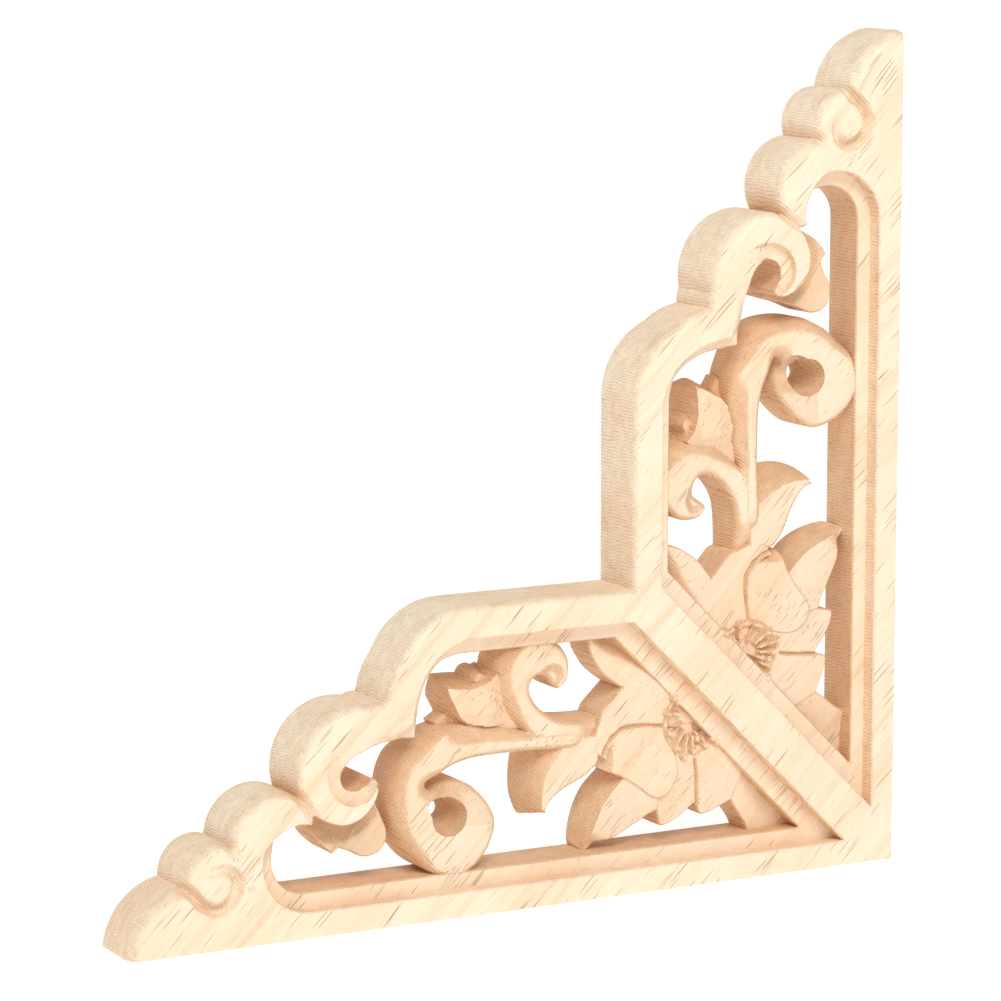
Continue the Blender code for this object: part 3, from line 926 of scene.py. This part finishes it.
def add_walls(edge_sides, levels, vertex_id, polygons, tooled):
    """An upright wall on every edge where the faces on its two sides differ in depth."""
    for (p, q), sides in edge_sides.items():
        if len(sides) != 4:
            continue
        p_near, q_near, p_far, q_far = sides
        if abs(p_near - p_far) < SAME_DEPTH and abs(q_near - q_far) < SAME_DEPTH:
            continue
        p_chain = sorted(x for x in levels[p] if min(p_near, p_far) <= x <= max(p_near, p_far))
        q_chain = sorted(x for x in levels[q] if min(q_near, q_far) <= x <= max(q_near, q_far))
        if q_near > q_far:
            q_chain.reverse()
        if p_near < p_far:
            p_chain.reverse()
        ring = [vertex_id(q, x) for x in q_chain] + [vertex_id(p, x) for x in p_chain]
        ring = [a for i, a in enumerate(ring) if a != ring[i - 1]]
        if len(set(ring)) >= 3:
            polygons.append(ring)
            tooled.append(1.0)


def add_back(layers, verts, rims, levels, on_mirror, vertex_id, polygons, tooled):
    """The flat back, from the outer edges of the front."""
    border = sorted({p for edge in rims for p in edge})
    number = {p: i for i, p in enumerate(border)}
    coords = [Vector(verts[p]) for p in border]
    on_diagonal = sorted((p for p in np.where(on_mirror)[0] if p in levels), key=lambda p: verts[p][0])
    for p in on_diagonal:
        if p not in number:
            number[p] = len(coords)
            border.append(p)
            coords.append(Vector(verts[p]))
            vertex_id(p, THICK)
    edges = [(number[p], number[q]) for p, q in rims]
    edges += [(number[a], number[b]) for a, b in zip(on_diagonal, on_diagonal[1:])]
    back_verts, _, back_faces, origins, _, _ = delaunay_2d_cdt(coords, edges, [], 0, BACK_SNAP)
    centres = np.array([np.mean([tuple(back_verts[i]) for i in f], axis=0) for f in back_faces])
    back_member = np.column_stack([inside(centres, layer.outline) for layer in layers])
    back_solid = has_material(back_member, layers) & in_half(centres)
    for f, ok in zip(back_faces, back_solid):
        if ok:
            polygons.append([vertex_id(border[origins[i][0]], THICK) for i in f])
            tooled.append(0.0)


def whole_mesh():
    """The half and its mirror image, as one mesh in the part's frame."""
    half, polygons, tooled, inner = half_mesh()
    count = len(half)
    shared = np.abs(half[:, 0] - half[:, 1]) < ON_MIRROR
    twin = np.where(shared, np.arange(count), 0)
    others = np.where(~shared)[0]
    twin[others] = count + np.arange(len(others))
    u = np.concatenate([half[:, 0], half[others, 1]])
    v = np.concatenate([half[:, 1], half[others, 0]])
    d = np.concatenate([half[:, 2], half[others, 2]])
    world = np.column_stack([(LEG / 2 - u) * MM, (d - THICK / 2) * MM, v * MM])
    mirrored = [[int(twin[i]) for i in reversed(ring)] for ring in polygons]
    return world, polygons + mirrored, tooled * 2, inner * 2


class Graph:
    """Short names for the nodes of one material."""

    def __init__(self, material):
        self.tree = material.node_tree

    def plug(self, node, name, value):
        socket = node.inputs[name]
        if isinstance(value, bpy.types.NodeSocket):
            self.tree.links.new(value, socket)
        else:
            socket.default_value = value

    def make(self, kind, settings=(), **inputs):
        node = self.tree.nodes.new(kind)
        for name, value in dict(settings).items():
            setattr(node, name, value)
        for name, value in inputs.items():
            self.plug(node, name, value)
        return node

    def math(self, operation, a, b=0.0, clamp=False):
        node = self.make("ShaderNodeMath", {"operation": operation, "use_clamp": clamp})
        self.plug(node, 0, a)
        self.plug(node, 1, b)
        return node.outputs[0]

    def ramp(self, value, low, high, to_low=0.0, to_high=1.0):
        node = self.make("ShaderNodeMapRange", {"interpolation_type": "SMOOTHSTEP"}, Value=value)
        self.plug(node, "From Min", low)
        self.plug(node, "From Max", high)
        self.plug(node, "To Min", to_low)
        self.plug(node, "To Max", to_high)
        return node.outputs[0]

    def dot(self, a, b):
        node = self.make("ShaderNodeVectorMath", {"operation": "DOT_PRODUCT"})
        self.plug(node, 0, a)
        self.plug(node, 1, b)
        return node.outputs["Value"]

    def stretched(self, grain, scales, shift=(0.0, 0.0, 0.0)):
        node = self.make("ShaderNodeMapping", Vector=grain, Scale=scales, Location=shift)
        return node.outputs[0]

    def noise(self, vector, detail=2.0, roughness=0.5):
        node = self.make("ShaderNodeTexNoise", Vector=vector, Scale=1.0, Detail=detail, Roughness=roughness)
        return node.outputs[0]

    def cells(self, vector):
        """Distance to the nearest cell centre, and a number that differs from cell to cell."""
        node = self.make("ShaderNodeTexVoronoi", Vector=vector, Scale=1.0)
        return node.outputs["Distance"], self.dot(node.outputs["Color"], (1.0, 0.0, 0.0))

    def mix(self, share, a, b):
        node = self.make("ShaderNodeMix", {"data_type": "RGBA"})
        self.plug(node, 0, share)
        self.plug(node, 6, a)
        self.plug(node, 7, b)
        return node.outputs[2]


def tone(name):
    """A named tone as the shader's linear values."""
    made = []
    for value in TONES[name]:
        share = value / 255
        made.append(share / 12.92 if share <= 0.04045 else ((share + 0.055) / 1.055) ** 2.4)
    return (*made, 1.0)


def wood_material():
    """Pale rubberwood: two glued staves, rings, fibres, open pores and the cutter's lines, with painted shade
    in the cutter's grooves and on the window's walls.
    """
    made = bpy.data.materials.new("rubberwood")
    made.use_nodes = True
    g = Graph(made)
    shader = made.node_tree.nodes["Principled BSDF"]
    place = g.make("ShaderNodeTexCoord").outputs["Object"]
    half = math.sqrt(0.5) / MM
    along = g.dot(place, (half, 0.0, half))
    across = g.dot(place, (-half, 0.0, half))
    inward = g.dot(place, (0.0, 1 / MM, 0.0))
    wander = g.make("ShaderNodeCombineXYZ", X=along, Y=inward, Z=across).outputs[0]
    sway = g.noise(g.stretched(wander, (0.02, 0.05, 0.05)), detail=1.0)
    swayed = g.math("ADD", across, g.math("MULTIPLY", g.math("SUBTRACT", sway, 0.5), 6.0))
    grain = g.make("ShaderNodeCombineXYZ", X=along, Y=inward, Z=swayed).outputs[0]

    stave = g.ramp(across, GLUE_LINE - 0.15, GLUE_LINE + 0.15)
    colour = g.mix(stave, tone("stave_right"), tone("stave_left"))
    cloud = g.noise(g.stretched(grain, (0.018, 0.06, 0.06)))
    colour = g.mix(g.ramp(cloud, 0.35, 0.7, 0.0, 0.55), colour, tone("cloud"))
    rings = g.noise(g.stretched(grain, (0.006, 0.22, 0.34)), detail=3.0, roughness=0.6)
    colour = g.mix(g.ramp(rings, 0.5, 0.72, 0.0, 0.42), colour, tone("ring"))
    pale = g.noise(g.stretched(grain, (0.01, 0.3, 0.45), (31.0, 5.0, 9.0)))
    colour = g.mix(g.ramp(pale, 0.5, 0.75, 0.0, 0.4), colour, tone("pale_ring"))
    fibre = g.noise(g.stretched(grain, (0.16, 3.2, 4.2)), detail=3.0, roughness=0.65)
    colour = g.mix(g.ramp(fibre, 0.48, 0.74, 0.0, 0.3), colour, tone("fibre"))

    tooled = g.make("ShaderNodeAttribute", {"attribute_name": "tooled"}).outputs["Fac"]
    normal = g.make("ShaderNodeNewGeometry").outputs["True Normal"]
    end_grain = g.math("ABSOLUTE", g.dot(normal, (math.sqrt(0.5), 0.0, math.sqrt(0.5))))
    end_grain = g.math("MULTIPLY", g.ramp(end_grain, 0.55, 1.0), tooled)
    colour = g.mix(g.math("MULTIPLY", end_grain, 0.35), colour, tone("end_grain"))

    # Painted shade on the walls in and by the window, where the recess shades them, partly the darker
    # router-cut wood.
    inner = g.make("ShaderNodeAttribute", {"attribute_name": "inner"}).outputs["Fac"]
    colour = g.mix(g.math("MULTIPLY", inner, 0.46), colour, tone("inner_wall_shade_and_burn"))

    density = g.noise(g.stretched(grain, (0.03, 0.12, 0.12), (3.0, 7.0, 1.0)), detail=1.0)
    reach = g.ramp(density, 0.3, 0.68, 0.15, 0.31)
    pore_cell, luck = g.cells(g.stretched(grain, tuple(1 / size for size in PORE_CELL)))
    reach = g.math("MULTIPLY", reach, g.ramp(luck, 0.15, 0.85, 0.25, 1.1))
    pores = g.ramp(g.math("DIVIDE", pore_cell, reach), 1.0, 0.6)
    long_scale = tuple(1 / size for size in LONG_PORE_CELL)
    long_cell, luck = g.cells(g.stretched(grain, long_scale, (4.3, 2.2, 8.1)))
    long_reach = g.ramp(luck, 0.45, 1.0, 0.002, 0.125)
    pores = g.math("MAXIMUM", pores, g.ramp(g.math("DIVIDE", long_cell, long_reach), 1.0, 0.6))
    calm = g.math("SUBTRACT", 1.0, g.math("MULTIPLY", tooled, 0.6))
    pores = g.math("MULTIPLY", pores, calm)
    colour = g.mix(g.math("MULTIPLY", pores, 0.72), colour, tone("pore"))

    drift = g.noise(g.stretched(grain, (0.5, 0.35, 0.12), (9.0, 1.0, 4.0)))
    wave = g.math("SINE", g.math("MULTIPLY", g.math("ADD", along, drift), 2 * math.pi / RASTER))
    trough = g.ramp(wave, -0.1, -1.0)
    patch = g.noise(g.stretched(grain, (0.35, 0.5, 0.35), (1.0, 14.0, 2.0)))
    strength = g.math("MULTIPLY", tooled, g.ramp(patch, 0.32, 0.62, 0.35, 1.0))
    # Painted shade in the troughs of the cutter's lines, a little stronger on the window's walls.
    shade = g.math("MULTIPLY", g.math("MULTIPLY", trough, strength), g.ramp(inner, 0.0, 1.0, 0.42, 0.5))
    colour = g.mix(shade, colour, tone("cutter_groove_shade"))
    fuzz_cell, luck = g.cells(g.stretched(grain, (1.1, 1.5, 2.0), (5.0, 3.0, 6.0)))
    fuzz_mask = g.noise(g.stretched(grain, (0.25, 0.3, 0.25), (8.0, 2.0, 5.0)), detail=1.0)
    fuzz = g.math("MULTIPLY", g.ramp(fuzz_cell, 0.3, 0.12), g.ramp(fuzz_mask, 0.4, 0.56))
    fuzz = g.math("MULTIPLY", fuzz, g.ramp(tooled, 0.5, 1.0))
    colour = g.mix(g.math("MULTIPLY", fuzz, 0.85), colour, tone("fuzz"))

    height = g.math("MULTIPLY", g.math("MULTIPLY", wave, strength), 0.04)
    height = g.math("ADD", height, g.math("MULTIPLY", fibre, 0.03))
    height = g.math("SUBTRACT", height, g.math("MULTIPLY", pores, 0.09))
    height = g.math("ADD", height, g.math("MULTIPLY", fuzz, 0.10))
    rough_noise = g.noise(g.stretched(grain, (1.6, 1.6, 1.6)), detail=3.0)
    height = g.math("ADD", height, g.math("MULTIPLY", g.math("MULTIPLY", rough_noise, tooled), 0.09))
    bump = g.make("ShaderNodeBump", Strength=1.0, Distance=MM, Height=height)
    g.plug(shader, "Normal", bump.outputs[0])
    g.plug(shader, "Base Color", colour)
    roughness = g.math("ADD", g.math("MULTIPLY", fibre, 0.16), 0.5)
    g.plug(shader, "Roughness", g.math("ADD", roughness, g.math("MULTIPLY", tooled, 0.1), clamp=True))
    shader.inputs["Specular IOR Level"].default_value = 0.3
    return made


def build_onlay():
    verts, polygons, tooled, inner = whole_mesh()
    mesh = bpy.data.meshes.new("carved_onlay")
    mesh.from_pydata([tuple(p) for p in verts], [], polygons)
    for name, values in (("tooled", tooled), ("inner", inner)):
        mark = mesh.attributes.new(name, "FLOAT", "FACE")
        mark.data.foreach_set("value", np.array(values, np.float32))
    mesh.polygons.foreach_set("use_smooth", np.ones(len(mesh.polygons), bool))
    mesh.set_sharp_from_angle(angle=math.radians(SHARP_ANGLE))
    mesh.materials.append(wood_material())
    mesh.update()
    made = bpy.data.objects.new("carved_onlay", mesh)
    bpy.context.scene.collection.objects.link(made)
    print("carved mesh:", len(mesh.vertices), "vertices", sum(len(p) - 2 for p in polygons), "triangles")
    return made


def add_camera():
    data = bpy.data.cameras.new("camera")
    data.lens = CAMERA_LENS
    data.sensor_width = 36.0
    data.clip_start = 0.05
    data.clip_end = 20.0
    camera = bpy.data.objects.new("camera", data)
    camera.location = CAMERA_PLACE
    camera.rotation_euler = tuple(math.radians(angle) for angle in CAMERA_TURN)
    bpy.context.scene.collection.objects.link(camera)
    bpy.context.scene.camera = camera


def add_lamp():
    data = bpy.data.lights.new("key", "AREA")
    data.size = KEY_SIZE
    data.energy = KEY_POWER
    data.color = KEY_TINT
    lamp = bpy.data.objects.new("key", data)
    lamp.location = KEY_PLACE
    lamp.rotation_euler = (Vector(KEY_AIM) - Vector(KEY_PLACE)).to_track_quat("-Z", "Y").to_euler()
    bpy.context.scene.collection.objects.link(lamp)


def add_stage():
    """A white studio: an even surround, a pale floor that sweeps up behind, and one soft lamp overhead."""
    world = bpy.data.worlds.new("studio")
    world.use_nodes = True
    background = world.node_tree.nodes["Background"]
    background.inputs["Color"].default_value = (1.0, 1.0, 1.0, 1.0)
    background.inputs["Strength"].default_value = SURROUND
    bpy.context.scene.world = world
    bpy.context.scene.view_settings.view_transform = "Standard"
    profile = [(-4.0, 0.0), (3.0, 0.0)]
    profile += [(3.0 + math.sin(a), 1.0 - math.cos(a)) for a in np.linspace(0.1, math.pi / 2, 12)]
    profile.append((4.0, 4.0))
    verts = [(x, y, z) for y, z in profile for x in (-5.0, 5.0)]
    faces = [(2 * i, 2 * i + 1, 2 * i + 3, 2 * i + 2) for i in range(len(profile) - 1)]
    mesh = bpy.data.meshes.new("floor")
    mesh.from_pydata(verts, [], faces)
    paint = bpy.data.materials.new("floor_white")
    paint.use_nodes = True
    shader = paint.node_tree.nodes["Principled BSDF"]
    shader.inputs["Base Color"].default_value = (FLOOR_PAINT, FLOOR_PAINT, FLOOR_PAINT, 1.0)
    shader.inputs["Roughness"].default_value = 0.9
    shader.inputs["Emission Color"].default_value = (1.0, 1.0, 1.0, 1.0)
    shader.inputs["Emission Strength"].default_value = FLOOR_GLOW
    mesh.materials.append(paint)
    floor = bpy.data.objects.new("floor", mesh)
    bpy.context.scene.collection.objects.link(floor)
    add_lamp()


def main():
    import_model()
    onlay = build_onlay()
    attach(onlay, "root")
    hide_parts(NODE)
    add_camera()
    add_stage()


main()
